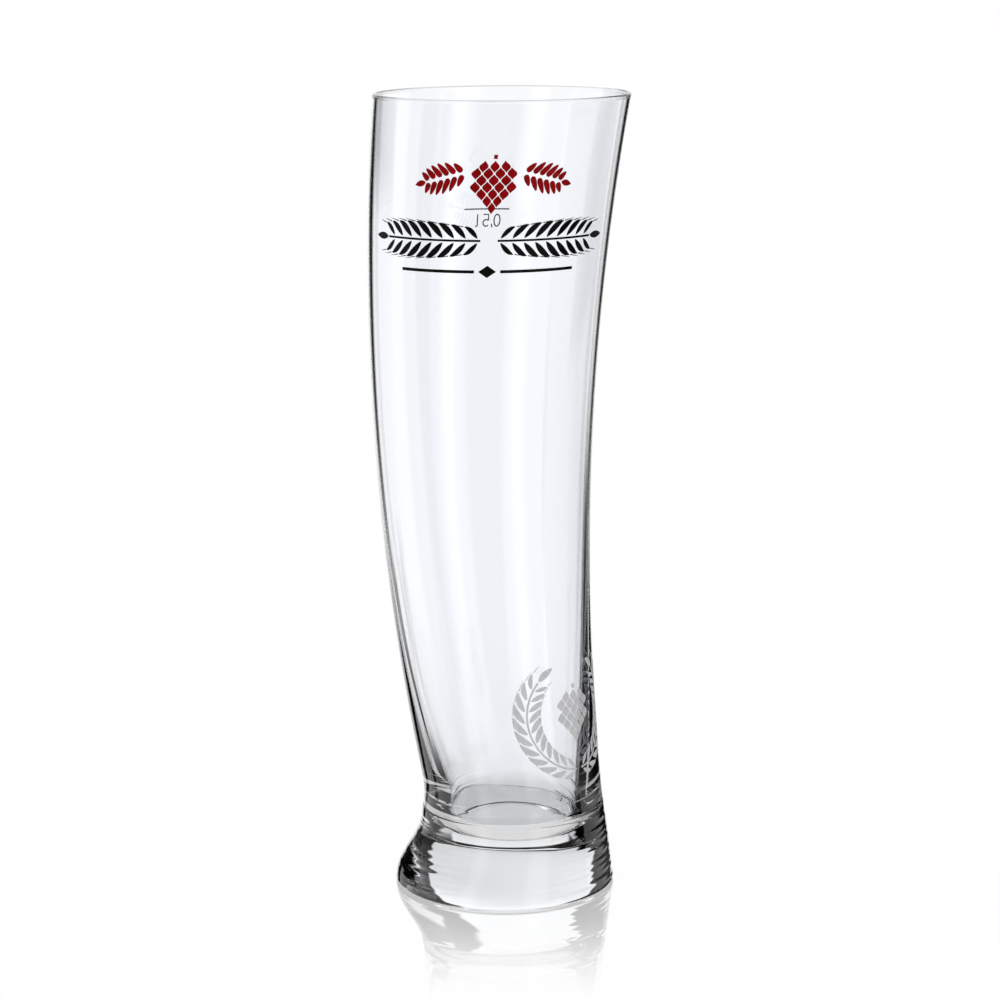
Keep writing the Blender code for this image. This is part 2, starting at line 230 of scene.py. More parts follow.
# Surroundings: the plain front, elevations at which the plain light changes, and soft edges
FRONT_TURN = math.radians(-157.5)
FRONT_HALF_WIDTH = math.radians(54)
SIDE_LIGHT_END = math.radians(25)
TOP_LIGHT_START = math.radians(65)
FRONT_EDGE = 0.1
HORIZON_EDGE = math.radians(3)
SENSOR_WIDTH = 36.0


def distance(description, default):
    """A length in metres."""
    settings = {"subtype": "DISTANCE", "unit": "LENGTH", "precision": 5}
    return partial(FloatProperty, description=description, default=default, **settings)


def turn(description, degrees):
    """An angle, given in degrees."""
    default = math.radians(degrees)
    return partial(FloatProperty, description=description, default=default, subtype="ANGLE", unit="ROTATION")


def number(description, default):
    """A plain number, such as a share, a slope or a level."""
    return partial(FloatProperty, description=description, default=default, precision=4)


def point(description, default):
    """Three coordinates in metres."""
    settings = {"subtype": "TRANSLATION", "unit": "LENGTH", "size": 3}
    return partial(FloatVectorProperty, description=description, default=default, **settings)


def colour(description, default):
    """Red, green and blue as linear light."""
    settings = {"subtype": "COLOR", "size": 3, "min": 0.0, "max": 1.0}
    return partial(FloatVectorProperty, description=description, default=default, **settings)


def named(group):
    """Makes the properties of a group, each with a name made from its attribute."""
    for key, make in group.__annotations__.items():
        group.__annotations__[key] = make(name=key.replace("_", " ").capitalize())
    return group


@named
class GlassSizes(bpy.types.PropertyGroup):
    """Sizes of the bowl and the foot."""

    height: distance("From the table to the top of the rim", 0.245)
    rim_radius: distance("Outside of the wall at the rim", 0.0388)
    waist_radius: distance("Outside of the wall above the heel", 0.0274)
    seam_height: distance("From the table to the ring where bowl and foot are fused", 0.025)
    seam_tilt: number("Rise of the fused ring for each metre towards +X", 0.022)
    seam_spread: distance("How far from the ring its tilt dies out", 0.004)
    groove_depth: distance("Depth of the fine groove at the fused ring", 0.0002)
    groove_width: distance("Half width of that groove", 0.00035)
    bend_radius: distance("Radius of the arc that the level sections' centres follow", 0.79)
    bend_height: distance("Height at which the bowl stands furthest towards -X", 0.1462)
    bend_offset: distance("X of the centres at that height", -0.0058)
    heel_swell: distance("How much the bowl swells out to meet the foot", 0.0008)
    heel_height: distance("Height over which it swells", 0.009)
    rim_wall: distance("Thickness of the wall under the rim bead", 0.0014)
    heel_wall: distance("Thickness of the wall at the inner floor", 0.009)
    wall_power: number("Power of the depth with which the wall thickens", 6.5)
    rim_bead: distance("How far the rim's bead stands proud of the wall", 0.00005)
    floor_height: distance("From the table to the inner floor", 0.0167)
    floor_round: distance("Height over which the wall turns into the inner floor", 0.01)
    floor_reach: distance("Width of that turn", 0.008)
    foot_radius: distance("Widest radius of the foot", 0.0343)
    foot_edge: distance("Radius of the rounded lower edge", 0.001)
    foot_taper: number("Share of the foot's spread that is a straight taper", 0.6)
    flare_start: number("Depth below the seam at which the flare starts, in foot heights", 0.25)
    flare_span: number("Depth over which it runs, in foot heights", 0.66)
    ripple: distance("Height of the fine level ripples that pressing left on the foot", 0.00002)


@named
class PrintSizes(bpy.types.PropertyGroup):
    """Places and sizes of the prints: drops count down from the rim, azimuths from -Y towards +X."""

    lift: distance("From the wall to the underside of the ink", 0.00002)
    thickness: distance("Thickness of the fired ink", 0.00008)
    hop_drop: distance("From the rim to the hop's stalk", 0.0155)
    hop_length: distance("Length of the hop cone", 0.0175)
    hop_width: distance("Width of the hop cone", 0.0157)
    leaf_start: distance("From the middle to the start of a hop leaf", 0.00845)
    leaf_fall: distance("From the hop's stalk down to that start", 0.0052)
    leaf_tilt: turn("Slope of a hop leaf", -14)
    leaf_length: distance("Length of a hop leaf", 0.0165)
    leaf_width: distance("Width of a hop leaf", 0.0091)
    ear_drop: distance("From the rim to the axis of the barley ears", 0.04045)
    ear_start: distance("From the middle to the start of an ear", 0.0025)
    ear_length: distance("Length of an ear", 0.038)
    ear_width: distance("Width of an ear", 0.0117)
    rule_drop: distance("From the rim to the ruled line", 0.0495)
    rule_length: distance("Length of each half of the line", 0.0235)
    rule_width: distance("Width of the line", 0.0009)
    rule_space: distance("Clear space between the lozenge and the line", 0.0012)
    lozenge_width: distance("Width of the lozenge", 0.0052)
    lozenge_height: distance("Height of the lozenge", 0.0036)
    wreath_azimuth: turn("Where the frosted wreath sits", 50)
    wreath_height: distance("From the table to the middle of the wreath", 0.058)
    wreath_radius: distance("Radius of the wreath's stems", 0.0175)
    wreath_sweep: turn("How far round each half of the wreath runs", 150)
    wreath_start: distance("From the bottom of the ring to the start of each half", 0.0012)
    wreath_width: distance("Width of each half", 0.0092)
    wreath_hop_length: distance("Length of the hop in the wreath", 0.019)
    wreath_hop_width: distance("Width of that hop", 0.0162)
    fill_azimuth: turn("Where the fill mark sits", 181.6)
    fill_drop: distance("From the rim to the fill line", 0.0383)
    fill_length: distance("Length of the fill line", 0.0145)
    fill_stroke: distance("Width of its strokes", 0.0004)
    figure_drop: distance("From the fill line to the middle of the figures", 0.00355)
    figure_height: distance("Height of a figure", 0.0037)
    figure_width: distance("Width of a figure", 0.0019)
    figure_pitch: distance("From one figure to the next", 0.0028)


@named
class Finishes(bpy.types.PropertyGroup):
    """Colours of the glass and of the fired inks."""

    glass: colour("Tint of the glass", (0.968, 0.979, 1.0))
    red: colour("Red enamel", (0.19, 0.001, 0.002))
    black: colour("Black enamel", (0.0025, 0.0022, 0.0022))
    frost: colour("Frosted enamel", (0.6, 0.6, 0.61))
    frost_cover: number("How much the frosted enamel hides", 0.72)


@named
class StageSettings(bpy.types.PropertyGroup):
    """Camera, lamps, floor and surroundings."""

    camera_place: point("Where the camera stands", (-0.00087, -0.8808, 0.2968))
    camera_pitch: turn("How far the camera looks down", 11.303)
    camera_roll: turn("How far the picture turns to the left", 0.3186)
    camera_lens: number("Focal length in millimetres on a 36 mm sensor", 105.217)
    side_light: number("Level of the plain light from the sides", 0.5)
    top_light: number("Level of the plain light from overhead", 1.3)
    panel_level: number("Brightness of the white panels as the glass sees them", 1.05)
    front_level: number("Level of the plain front", 0.25)
    between: number("Level of the dark gaps between the panels", 0.012)
    table_level: number("Level of the table as the glass sees it", 0.69)
    roof_level: number("Level overhead as the glass sees it", 0.55)
    softbox_level: number("Brightness of the softboxes, where white is 1", 1.2)
    floor_radius: distance("Radius of the floor", 0.6)
    # The patch that shows through the foot is painted light: it glows at these two levels
    contact_level: number("Level of the patch that shows through the foot, at its back", 0.57)
    contact_front: number("Level of that patch in front", 0.76)
    floor_light: number("Share of the floor at the foot that is plain white", 0.92)
    sheen: number("Mirror share of the floor at the foot", 0.5)
    sheen_radius: distance("Where the floor's sheen has faded out", 0.115)


def smoothstep(value):
    """0 below 0, 1 above 1, and three squares less two cubes between."""
    value = np.clip(value, 0.0, 1.0)
    return value * value * (3 - 2 * value)


def heel_swell(sizes, height):
    """Grows with the square of the depth below the heel's top edge."""
    depth = np.maximum(0.0, sizes.seam_height + sizes.heel_height - height) / sizes.heel_height
    return sizes.heel_swell * depth**2


def wall_radius(sizes, height):
    """Outside of the bowl: a straight cone from waist to rim, swollen at the heel."""
    climb = (height - sizes.seam_height) / (sizes.height - sizes.seam_height)
    return sizes.waist_radius + (sizes.rim_radius - sizes.waist_radius) * climb + heel_swell(sizes, height)


def bowl_lean(sizes, height):
    """X of a level section's centre: a circular arc, drawn towards -X at the heel."""
    arc = sizes.bend_radius - np.sqrt(sizes.bend_radius**2 - (height - sizes.bend_height) ** 2)
    return sizes.bend_offset + arc - heel_swell(sizes, height)


def inner_radius(sizes, height):
    """Inside of the wall, which thickens with a power of the depth below the rim."""
    depth = (sizes.height - height) / (sizes.height - sizes.floor_height)
    thicker = (sizes.heel_wall - sizes.rim_wall) * depth**sizes.wall_power
    return wall_radius(sizes, height) - sizes.rim_wall - thicker


def foot_flare(sizes, height):
    """An S-curve from 0 near the seam to 1 near the underside."""
    depth = 1 - height / sizes.seam_height
    return smoothstep((depth - sizes.flare_start) / sizes.flare_span)


def foot_radius(sizes, height):
    """From the waist's radius out to the foot's: part straight taper, part S-curve."""
    top = wall_radius(sizes, sizes.seam_height)
    depth = 1 - height / sizes.seam_height
    spread = sizes.foot_taper * depth + (1 - sizes.foot_taper) * foot_flare(sizes, height)
    return top + (sizes.foot_radius - top) * spread


def outer_lean(sizes, height):
    """The bowl's lean above the seam; below it, that of the seam dies out with the flare."""
    low = bowl_lean(sizes, sizes.seam_height) * (1 - foot_flare(sizes, height))
    return np.where(height < sizes.seam_height, low, bowl_lean(sizes, np.maximum(height, sizes.seam_height)))


def crowded(start, end, count):
    """Values from start to end that crowd together at both, as a cosine does."""
    return start + (end - start) * (1 - np.cos(np.linspace(0, math.pi, count))) / 2


def outer_section(sizes):
    """Radius and height from the underside's middle out, round the lower edge and up to the bead."""
    edge_radius = foot_radius(sizes, sizes.foot_edge)
    flat_end = edge_radius - sizes.foot_edge
    edge = np.linspace(-math.pi / 2, 0, EDGE_ROWS)[:-1]
    low = sizes.seam_height - sizes.groove_width
    high = sizes.seam_height + sizes.groove_width
    foot = np.linspace(sizes.foot_edge, low, FOOT_ROWS)[:-1]
    groove = np.linspace(low, high, GROOVE_ROWS)[:-1]
    ring = np.where(groove < sizes.seam_height, foot_radius(sizes, groove), wall_radius(sizes, groove))
    wall = crowded(high, bead_section(sizes)[1][0], WALL_ROWS)[:-1]
    flat = np.linspace(0, flat_end, UNDERSIDE_ROWS)[:-1]
    radius = (
        flat,
        flat_end + sizes.foot_edge * np.cos(edge),
        foot_radius(sizes, foot),
        ring,
        wall_radius(sizes, wall),
    )
    height = (flat * 0, sizes.foot_edge * (1 + np.sin(edge)), foot, groove, wall)
    return np.concatenate(radius), np.concatenate(height)


def bead_section(sizes):
    """The fire-polished rim: a round bead, a little thicker than the wall under it."""
    radius = sizes.rim_wall / 2 + sizes.rim_bead
    middle = wall_radius(sizes, sizes.height - radius) - sizes.rim_wall / 2
    start = -math.acos(sizes.rim_wall / 2 / radius)
    angle = np.linspace(start, math.pi - start, BEAD_ROWS)
    return middle + radius * np.cos(angle), sizes.height - radius + radius * np.sin(angle)


def inner_section(sizes):
    """Radius and height down the inside of the wall, round a quarter ellipse and in to the floor's middle."""
    turn_height = sizes.floor_height + sizes.floor_round
    wall = crowded(bead_section(sizes)[1][-1], turn_height, INNER_ROWS)[1:-1]
    angle = np.linspace(0, math.pi / 2, ROUND_ROWS)
    corner = inner_radius(sizes, turn_height) - sizes.floor_reach * (1 - np.cos(angle))
    flat = corner[-1] * np.linspace(1, 0, FLOOR_ROWS)[1:]
    radius = (inner_radius(sizes, wall), corner, flat)
    height = (wall, turn_height - sizes.floor_round * np.sin(angle), 0 * flat + sizes.floor_height)
    return np.concatenate(radius), np.concatenate(height)


def ripples(sizes, height, angle):
    """Crossing sines of height and angle, strongest at the sides and gone at the lower edge and the seam."""
    total = sum(np.sin(TURN * height / length + turns * angle + start) for length, turns, start in RIPPLES)
    low, high = height / sizes.foot_edge - 1, (sizes.seam_height - height) / sizes.seam_spread
    return sizes.ripple * total * smoothstep(low) * smoothstep(high) * np.sin(angle) ** 2


def seam_groove(sizes, height, angle):
    """A squared cosine of the height above or below the fused ring, deepest in front and gone at the back."""
    off = np.clip((height - sizes.seam_height) / sizes.groove_width, -1, 1)
    return sizes.groove_depth * np.cos(off * math.pi / 2) ** 2 * (1 + np.cos(angle)) / 2


def glass_surface(sizes):
    """Points and faces of the fused glass: its section turned round Z, each level moved along X by its lean.

    The outside near the fused ring also rises towards +X, by the seam's tilt times a bell curve of height.
    """
    outside = outer_section(sizes)
    bead = bead_section(sizes)
    inside = inner_section(sizes)
    radius, height = (np.concatenate(parts)[:, None] for parts in zip(outside, bead, inside))
    outer = (np.arange(len(radius)) < len(outside[0]))[:, None]
    lean = np.where(outer, outer_lean(sizes, height), bowl_lean(sizes, np.maximum(height, sizes.seam_height)))
    angle = np.arange(SEGMENTS) * TURN / SEGMENTS
    finish = ripples(sizes, height, angle) - seam_groove(sizes, height, angle)
    reach = radius + np.where(outer & (height > 0), finish, 0.0)
    x = lean + reach * np.sin(angle)
    y = -reach * np.cos(angle)
    near_seam = np.exp(-(((height - sizes.seam_height) / sizes.seam_spread) ** 2)) * outer
    z = height + sizes.seam_tilt * x * near_seam * (height > 0)
    grid = np.stack((x, y, z), axis=-1)
    points = np.concatenate((grid[0, :1], grid[1:-1].reshape(-1, 3), grid[-1, :1]))
    return points, turned_faces(len(radius) - 2)


def turned_faces(rows):
    """Quads between the rows of a turned surface, with a fan of triangles at each pole."""
    index = 1 + np.arange(rows * SEGMENTS).reshape(rows, SEGMENTS)
    after = np.roll(index, -1, axis=1)
    quads = np.stack((index[:-1], after[:-1], after[1:], index[1:]), axis=-1).reshape(-1, 4)
    last = rows * SEGMENTS + 1
    first_fan = np.stack((np.zeros(SEGMENTS, int), after[0], index[0]), axis=-1)
    last_fan = np.stack((np.full(SEGMENTS, last), index[-1], after[-1]), axis=-1)
    return quads.tolist() + first_fan.tolist() + last_fan.tolist()


def almond(step, crown=0.85, roundness=0.8, least=0.05):
    """Half width of an almond along its length: an arch of sines, never quite 0 at its ends."""
    return np.maximum(np.sin(math.pi * step**crown) ** roundness, least)


def ribbon(path, half_width):
    """Each path point plus shares from -1 to 1 of its half width along the path's left normal."""
    along = np.gradient(path, axis=-2)
    along = along / np.linalg.norm(along, axis=-1, keepdims=True)
    left = np.stack((-along[..., 1], along[..., 0]), axis=-1)
    shares = np.linspace(-1, 1, RIBBON_COLUMNS)
    return path[..., None, :] + (half_width[..., None] * shares)[..., None] * left[..., None, :]


def strip(start, end, half_width):
    """A straight ribbon along +u, whose half width is one number or one for each row."""
    step = np.linspace(0, 1, RIBBON_ROWS)
    path = np.stack((start + (end - start) * step, 0 * step), axis=-1)
    return ribbon(path, half_width * np.ones(RIBBON_ROWS))[None]


def both_sides(grid):
    """The ribbons and their mirror images about the u axis."""
    return np.concatenate((grid, grid * (1, -1)))


def lobe_sizes(count, before, spare, skew, power):
    """Sizes of the lobes along a stem: an arch of sines to a power, never 0 at either end."""
    place = (np.arange(count) + before) / (count + spare)
    return (np.sin(math.pi * place**skew) ** power)[:, None]


def barley_ear(length, width, grains):
    """A stem along +u with pairs of almond grains that lean forward, an awn on each, and a grain at its tip.

    A grain's middle line is most of a quarter wave, an awn's is straight, and both shrink towards its ends.
    """
    step = np.linspace(0, 1, RIBBON_ROWS)
    pitch = length / (grains + EAR_SPARE)
    size = lobe_sizes(grains, *EAR_ARCH)
    stem = pitch * EAR_STEM
    clear = stem * GRAIN_CLEAR
    foot = (np.arange(grains) + FIRST_GRAIN)[:, None] * pitch
    grain_u = foot + pitch * GRAIN_LENGTH * size * step
    grain_v = clear + width * GRAIN_REACH * size * np.sin(step * math.pi / 2 * GRAIN_TURN)
    grain = ribbon(np.stack((grain_u, grain_v), axis=-1), pitch * GRAIN_HALF_WIDTH * size * almond(step))
    awn_u = grain_u[:, -1:] + pitch * (AWN_GAP + AWN_LENGTH * size * step)
    awn_v = grain_v[:, -1:] + (width / 2 - clear - width * GRAIN_REACH) * size * step
    awn_half_width = pitch * AWN_HALF_WIDTH * (1 - AWN_TAPER * step) * np.ones_like(size)
    awn = ribbon(np.stack((awn_u, awn_v), axis=-1), awn_half_width)
    tip_start = length - pitch * EAR_TIP
    tip = strip(tip_start, length, pitch * EAR_TIP_HALF_WIDTH * almond(step))
    return [both_sides(grain), both_sides(awn), strip(0.0, tip_start - pitch * EAR_TIP_GAP, stem), tip]


def hop_cone(length, width):
    """Rows of scales on a cone that narrows to one scale at its tip, under a short stalk.

    A scale's half width is a squared sine of its length, and rows are half a scale apart, so that clear lines
    of even width run between the scales. All widths follow an arch of sines along the cone.
    """
    step = np.linspace(SCALE_CUT, 1 - SCALE_CUT, RIBBON_ROWS)
    row_gap = length * (1 - CONE_START) / (CONE_ROWS + 1)
    columns = np.arange(-CONE_COLUMNS, CONE_COLUMNS + 1)
    row, column = np.meshgrid(np.arange(CONE_ROWS), columns, indexing="ij")
    middle = (column + 0.5 * (row % 2)) * SCALE_PITCH
    kept = np.abs(middle) < np.minimum(CONE_SHOULDER, CONE_POINT + CONE_TAPER * (CONE_ROWS - 1 - row))
    start, middle = (values[kept][:, None] for values in (length * CONE_START + row * row_gap, middle))
    along = start + 2 * row_gap * step
    arch = width / 2 * (CONE_LEAST + CONE_BULGE * np.sin(math.pi * (along / length) ** CONE_SKEW))
    half = SCALE_HALF_WIDTH * SCALE_PITCH * np.sin(math.pi * step) ** 2
    across = arch[..., None] * (middle[..., None] + half[:, None] * np.linspace(-1, 1, RIBBON_COLUMNS))
    scale = np.stack((along[..., None] + 0 * across, across), axis=-1)
    return [scale, strip(0.0, length * STALK_LENGTH, width * STALK_HALF_WIDTH)]


def hop_leaf(length, width, teeth):
    """Pairs of lobes off a clear midrib and one at the tip, all straight ribbons as wide as an almond."""
    step = np.linspace(0, 1, RIBBON_ROWS)
    pitch = length / (teeth + LEAF_TIP)
    size = lobe_sizes(teeth, *LEAF_ARCH)
    lobe_u = (np.arange(teeth) + FIRST_LOBE)[:, None] * pitch + pitch * LOBE_LENGTH * size * step
    lobe_v = width * (LOBE_START + LOBE_REACH * size * step)
    half = pitch * LOBE_HALF_WIDTH * almond(step, *LOBE_ALMOND) * np.ones_like(size)
    lobe = ribbon(np.stack((lobe_u, lobe_v), axis=-1), half)
    tip = strip(length - pitch * LEAF_TIP, length, pitch * LEAF_TIP_HALF_WIDTH * almond(step))
    return [both_sides(lobe), tip]


def placed(grids, across=0.0, up=0.0, turned=0.0, mirror=False):
    """Ribbons turned about their origin, shifted, and mirrored left to right if asked."""
    cosine, sine = math.cos(turned), math.sin(turned)
    matrix = np.array(((cosine, sine), (-sine, cosine)))
    return [(grid @ matrix + (across, up)) * (-1 if mirror else 1, 1) for grid in grids]


def curled(grids, radius, start):
    """Ribbons along +u bent into an arc about the origin, which starts under it."""
    bent = []
    for grid in grids:
        angle = (grid[..., 0] + start) / radius
        arm = radius - grid[..., 1]
        bent.append(np.stack((arm * np.sin(angle), -arm * np.cos(angle)), axis=-1))
    return bent


def wrapped(sizes, prints, flat, depth, azimuth, height):
    """Flat points laid on the wall: across becomes an angle, up a height, and depth counts outwards."""
    level = height + flat[..., 1]
    angle = azimuth + flat[..., 0] / wall_radius(sizes, height)
    reach = wall_radius(sizes, level) + prints.lift + depth
    x = bowl_lean(sizes, level) + reach * np.sin(angle)
    return np.stack((x, -reach * np.cos(angle), level), axis=-1)


def slab_faces(count, rows, columns, closed):
    """Quads of many closed slabs of two layers, rows by columns: a tube round each, and its ends if open."""
    index = np.arange(count * 2 * rows * columns).reshape(count, 2, rows, columns)
    if closed:
        index = np.concatenate((index, index[:, :, :1]), axis=2)
    low, high = index[:, 0], index[:, 1]
    tube = np.concatenate((high, low[:, :, ::-1], high[:, :, :1]), axis=2)

    def quads(a, b, c, d):
        return np.stack((a, b, c, d), axis=-1).reshape(-1, 4)

    faces = [quads(tube[:, :-1, :-1], tube[:, 1:, :-1], tube[:, 1:, 1:], tube[:, :-1, 1:])]
    if not closed:
        faces.append(quads(low[:, 0, 1:], low[:, 0, :-1], high[:, 0, :-1], high[:, 0, 1:]))
        faces.append(quads(low[:, -1, :-1], low[:, -1, 1:], high[:, -1, 1:], high[:, -1, :-1]))
    return np.concatenate(faces)


def leftwards(grid):
    """Turns the columns of mirrored ribbons round, so that all run from right to left of their path."""
    along = grid[:, 1:, :-1] - grid[:, :-1, :-1]
    across = grid[:, :-1, 1:] - grid[:, :-1, :-1]
    area = (along[..., 0] * across[..., 1] - along[..., 1] * across[..., 0]).sum(axis=(1, 2))
    return np.where((area < 0)[:, None, None, None], grid[:, :, ::-1], grid)


def ink_surface(sizes, prints, grids, azimuth, height, closed=False):
    """Points and faces of ribbons made into thin slabs of ink on the wall."""
    points, faces, used = [], [], 0
    for grid in grids:
        flat = leftwards(grid)
        layers = [wrapped(sizes, prints, flat, depth, azimuth, height) for depth in (0.0, prints.thickness)]
        count, rows, columns = flat.shape[:3]
        points.append(np.stack(layers, axis=1).reshape(-1, 3))
        faces.append(slab_faces(count, rows, columns, closed) + used)
        used += count * 2 * rows * columns
    return np.concatenate(points), np.concatenate(faces).tolist()


def new_object(name, points, faces, material):
    """Puts points and faces into the scene as an object of one material."""
    mesh = bpy.data.meshes.new(name)
    mesh.from_pydata(points.tolist(), [], faces)
    if mesh.validate():
        raise RuntimeError(f"{name} has faulty faces")
    mesh.materials.append(material)
    made = bpy.data.objects.new(name, mesh)
    bpy.context.scene.collection.objects.link(made)
    return made


def add_piece(name, surface, material, slot, *nodes):
    """Puts a surface into the scene as a piece that stands for the frame's nodes."""
    piece = new_object(name, *surface, material)
    piece.data.shade_smooth()
    piece.data.set_sharp_from_angle(angle=SHARP_ANGLE)
    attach(piece, BODY)
    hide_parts(*nodes)


def plug(tree, value, socket):
    """Links another socket to this one, or sets its plain value."""
    if isinstance(value, bpy.types.NodeSocket):
        tree.links.new(value, socket)
    else:
        socket.default_value = value


def add_node(tree, kind, settings=None, **values):
    """A node with its settings, and sockets or plain values for its inputs by name."""
    made = tree.nodes.new(kind)
    for name, value in (settings or {}).items():
        setattr(made, name, value)
    for name, value in values.items():
        plug(tree, value, made.inputs[name.replace("_", " ")])
    return made


def math_node(tree, operation, *inputs):
    """A Math node whose inputs are sockets or plain numbers."""
    made = add_node(tree, "ShaderNodeMath", {"operation": operation})
    for socket, value in zip(made.inputs, inputs):
        plug(tree, value, socket)
    return made.outputs[0]


def product(tree, first, *others):
    """All values multiplied."""
    for other in others:
        first = math_node(tree, "MULTIPLY", first, other)
    return first


def blend(tree, first, second, factor):
    """The first value where the factor is 0, and the second where it is 1."""
    made = add_node(tree, "ShaderNodeMix", {"data_type": "FLOAT"}, Factor=factor)
    for socket, value in zip(made.inputs[2:4], (first, second)):
        plug(tree, value, socket)
    return made.outputs[0]


def mix_shaders(tree, first, second, factor):
    """The first node's shader where the factor is 0, and the second's where it is 1."""
    made = add_node(tree, "ShaderNodeMixShader", Fac=factor)
    for socket, node in zip(made.inputs[1:], (first, second)):
        tree.links.new(node.outputs[0], socket)
    return made


def smooth_range(tree, value, low, high):
    """0 below low, 1 above high, smooth between."""
    settings = {"interpolation_type": "SMOOTHSTEP"}
    made = add_node(tree, "ShaderNodeMapRange", settings, Value=value, From_Min=low, From_Max=high)
    return made.outputs["Result"]


def fired_ink_group():
    """Shared by all inks: Cover varies with the ink's density, Height with the screen's weave under it."""
    name = "fired_ink"
    if name in bpy.data.node_groups:
        return bpy.data.node_groups[name]
    tree = bpy.data.node_groups.new(name, "ShaderNodeTree")
    for in_out, sockets in (("INPUT", ("Cloud Scale", "Weave Scale")), ("OUTPUT", ("Cover", "Height"))):
        for socket in sockets:
            tree.interface.new_socket(name=socket, in_out=in_out, socket_type="NodeSocketFloat")
    scales = add_node(tree, "NodeGroupInput").outputs
    place = add_node(tree, "ShaderNodeTexCoord").outputs["Object"]
    cloud = add_node(tree, "ShaderNodeTexNoise", Vector=place, Scale=scales[0], Detail=4.0, Roughness=0.6)
    weave = add_node(tree, "ShaderNodeTexNoise", Vector=place, Scale=scales[1], Detail=2.0, Roughness=0.5)
    cover = smooth_range(tree, cloud.outputs["Fac"], *COVER_RANGE)
    add_node(tree, "NodeGroupOutput", Cover=cover, Height=weave.outputs["Fac"])
    return tree


def new_material(name, **values):
    """A material with values for its Principled shader's sockets by name, its node tree and that shader."""
    made = bpy.data.materials.new(name)
    made.use_nodes = True
    shader = made.node_tree.nodes["Principled BSDF"]
    for socket, value in values.items():
        shader.inputs[socket.replace("_", " ")].default_value = value
    return made, made.node_tree, shader


def ink_material(finishes, ink):
    """Fired enamel: its colour thins and its gloss varies with the ink's cover, over a fine screen weave."""
    name = f"fired_{ink}"
    if name in bpy.data.materials:
        return bpy.data.materials[name]
    full = getattr(finishes, ink)
    thin, roughness = INKS[ink][1:]
    alpha = finishes.frost_cover if ink == "frost" else 1.0
    made, tree, shader = new_material(name, IOR=INK_IOR, Alpha=alpha, Specular_IOR_Level=INK_SPECULAR)
    scales = {"Cloud_Scale": CLOUD_SCALE, "Weave_Scale": WEAVE_SCALE}
    group = add_node(tree, "ShaderNodeGroup", {"node_tree": fired_ink_group()}, **scales)
    cover = group.outputs["Cover"]
    # The colour sockets of a Mix node: its seventh and eighth inputs and its third output
    mix = add_node(tree, "ShaderNodeMix", {"data_type": "RGBA"}, Factor=cover)
    mix.inputs[6].default_value = (*(thin * part for part in full), 1.0)
    mix.inputs[7].default_value = (*full, 1.0)
    ends = {"To_Min": roughness + THIN_ROUGHNESS, "To_Max": roughness}
    gloss = add_node(tree, "ShaderNodeMapRange", Value=cover, **ends)
    weave = group.outputs["Height"]
    bump = add_node(tree, "ShaderNodeBump", Height=weave, Strength=WEAVE_STRENGTH, Distance=WEAVE_DEPTH)
    tree.links.new(mix.outputs[2], shader.inputs["Base Color"])
    tree.links.new(gloss.outputs["Result"], shader.inputs["Roughness"])
    tree.links.new(bump.outputs["Normal"], shader.inputs["Normal"])
    return made


def glass_material(finishes):
    """Clear soda-lime glass: sharp refraction, a slight tint in its depth, and the faint waves of blowing."""
    tint = (*finishes.glass, 1.0)
    made, tree, shader = new_material(
        "blown_glass", Base_Color=tint, Roughness=0.0, IOR=GLASS_IOR, Transmission_Weight=1.0
    )
    place = add_node(tree, "ShaderNodeTexCoord").outputs["Object"]
    stretch = add_node(tree, "ShaderNodeMapping", Vector=place, Scale=WAVE_SCALE).outputs["Vector"]
    waves = add_node(tree, "ShaderNodeTexNoise", Vector=stretch, Scale=1.0, Detail=1.0).outputs["Fac"]
    bump = add_node(tree, "ShaderNodeBump", Height=waves, Strength=WAVE_STRENGTH, Distance=WAVE_DEPTH)
    tree.links.new(bump.outputs["Normal"], shader.inputs["Normal"])
    return made


def lay_print(settings, node, ink, grids, azimuth, height, closed=False):
    """Adds a print of one ink, which stands for the frame's node of the same name."""
    surface = ink_surface(settings.glass, settings.prints, grids, azimuth, height, closed)
    add_piece(f"{node}_print", surface, ink_material(settings.finishes, ink), INKS[ink][0], node)


class MakeGlass(bpy.types.Operator):
    """The bowl and the solid foot, fused at the seam, as one clear body"""

    bl_idname = "beer_glass.make_glass"
    bl_label = "Glass"

    def execute(self, context):
        settings = context.scene.beer_glass
        surface = glass_surface(settings.glass)
        add_piece("glass_body", surface, glass_material(settings.finishes), "clear_glass", "bowl", "foot")
        return {"FINISHED"}


class MakeHopPrint(bpy.types.Operator):
    """The red hop cone and the leaf on each side of it"""

    bl_idname = "beer_glass.make_hop_print"
    bl_label = "Hop print"

    def execute(self, context):
        settings = context.scene.beer_glass
        prints = settings.prints
        height = settings.glass.height - prints.hop_drop
        cone = placed(hop_cone(prints.hop_length, prints.hop_width), turned=-math.pi / 2)
        lay_print(settings, "hop_cone", "red", cone, FRONT, height)
        leaf = hop_leaf(prints.leaf_length, prints.leaf_width, LEAF_TEETH)
        for side, mirror in SIDES:
            laid = placed(leaf, prints.leaf_start, -prints.leaf_fall, prints.leaf_tilt, mirror)
            lay_print(settings, f"hop_leaf_{side}", "red", laid, FRONT, height)
        return {"FINISHED"}


class MakeBarleyPrint(bpy.types.Operator):
    """The pair of black barley ears"""

    bl_idname = "beer_glass.make_barley_print"
    bl_label = "Barley print"

    def execute(self, context):
        settings = context.scene.beer_glass
        prints = settings.prints
        height = settings.glass.height - prints.ear_drop
        ear = barley_ear(prints.ear_length, prints.ear_width, EAR_GRAINS)
        for side, mirror in SIDES:
            laid = placed(ear, across=prints.ear_start, mirror=mirror)
            lay_print(settings, f"barley_ear_{side}", "black", laid, FRONT, height)
        return {"FINISHED"}


